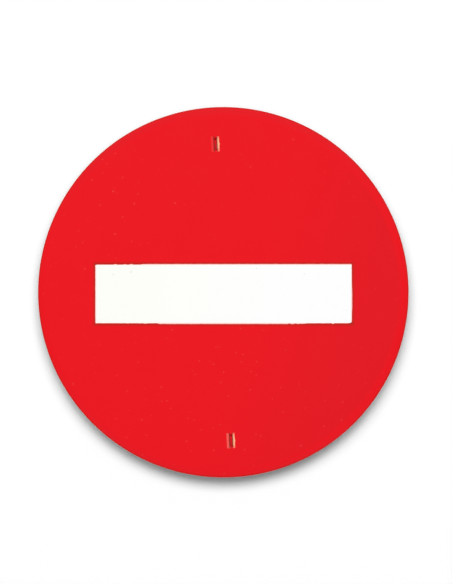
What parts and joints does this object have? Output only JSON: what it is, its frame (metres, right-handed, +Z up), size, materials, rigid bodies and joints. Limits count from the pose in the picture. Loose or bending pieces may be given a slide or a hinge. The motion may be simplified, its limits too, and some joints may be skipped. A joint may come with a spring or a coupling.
{
  "type": "prohibition sign",
  "caption": "Round no-entry sign: red printed plastic disc with a bare white bar and a moulded strap bridge near its top and bottom for tying it to a post.",
  "frame": {"origin": "on the disc's axis, in the plane of the strap bridges' backs, where the post or panel behind the sign lies", "axes": "+Z up, +X to the right as the face is read, -Y the way the printed face looks, +Y towards the post"},
  "size_m": [0.5998, 0.0078, 0.5998],
  "materials": {
    "white_sheet": "satin moulded",
    "red_ink": "satin screen print"
  },
  "bodies": {
    "root": {"sign_disc": "white_sheet", "red_print": "red_ink"}
  },
  "joints": []
}
